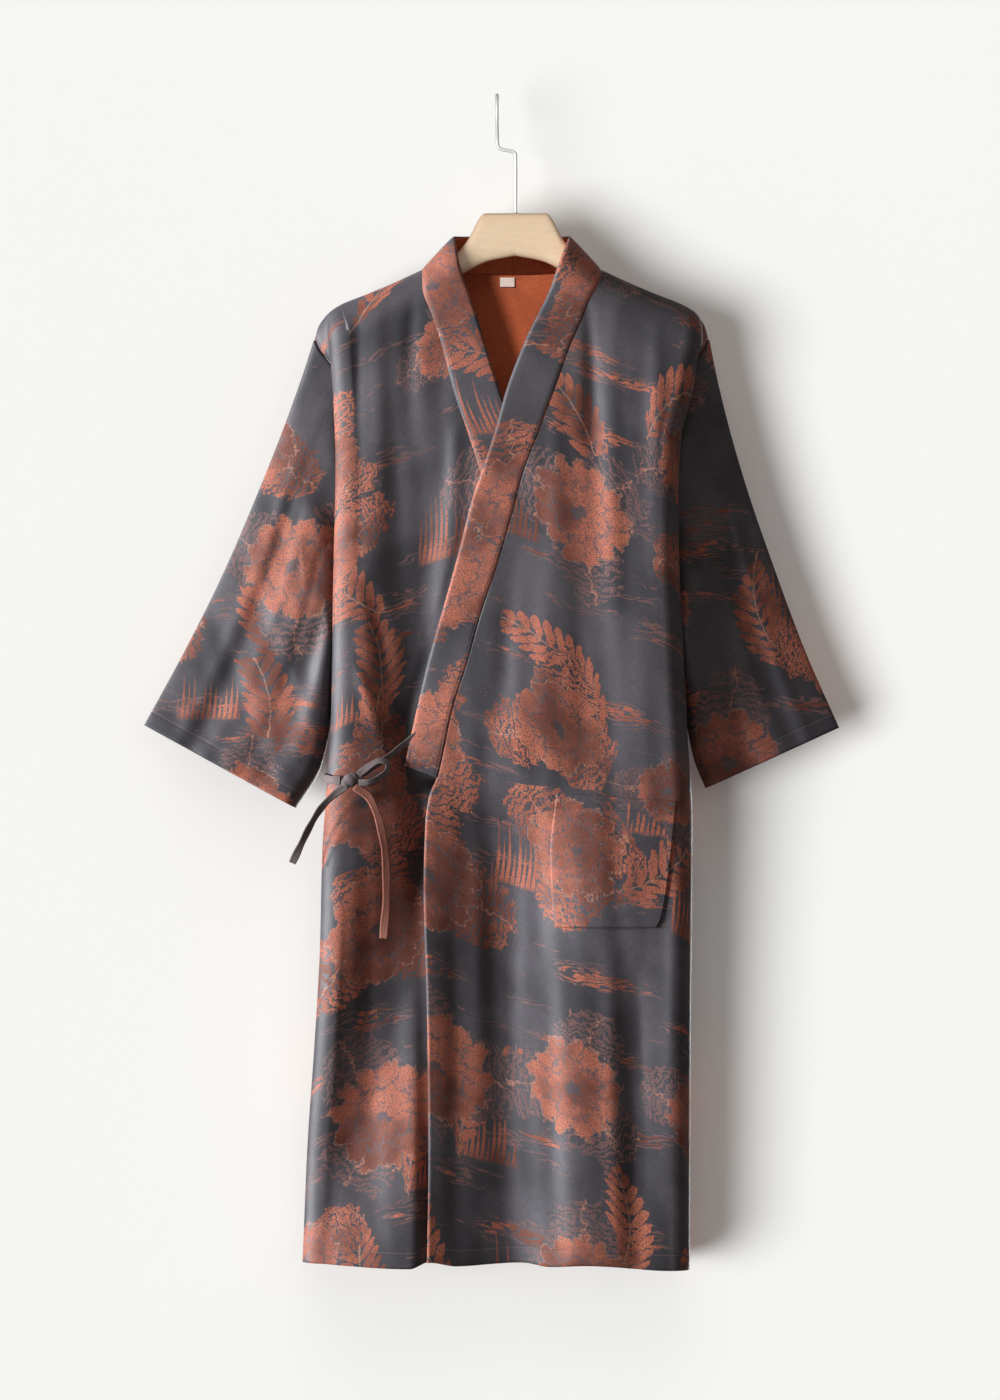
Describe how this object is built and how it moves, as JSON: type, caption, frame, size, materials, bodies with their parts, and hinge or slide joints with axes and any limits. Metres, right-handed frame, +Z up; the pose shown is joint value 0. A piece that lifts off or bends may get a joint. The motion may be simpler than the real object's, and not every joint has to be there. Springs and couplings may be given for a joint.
{
  "type": "kimono robe on a wooden hanger",
  "caption": "Wrap-front kimono robe with wide short sleeves, neckband, patch pocket and tied side bow, hanging on a wooden hanger with a wire hook.",
  "frame": {"origin": "seat of the hanger's hook: the underside of the wire's top bend, where a rail carries it", "axes": "+Z up, -Y is the front of the robe, +X is the wearer's left"},
  "size_m": [0.8044, 0.1433, 1.3569],
  "materials": {
    "robe_cloth": "soft woven cloth, slate with a rust and mauve pattern, plain rust reverse",
    "tie_slate": "folded strip of the robe cloth, slate side out",
    "tie_rust": "folded strip of the robe cloth, rust side out",
    "label": "plain white woven label",
    "hanger_wood": "pale wood, satin varnish",
    "hook_steel": "bright bent wire"
  },
  "bodies": {
    "root": {"back": "robe_cloth", "front_left": "robe_cloth", "front_right": "robe_cloth", "sleeve_left": "robe_cloth", "sleeve_right": "robe_cloth", "neckband_left": "robe_cloth", "neckband_right": "robe_cloth", "pocket": "robe_cloth", "label": "label", "tie_left": "tie_slate", "tie_right": "tie_slate", "tie_knot": "tie_slate", "tie_loop": "tie_slate", "tie_tail_side": "tie_slate", "tie_tail_front": "tie_rust", "hanger": "hanger_wood", "hook": "hook_steel"}
  },
  "joints": []
}
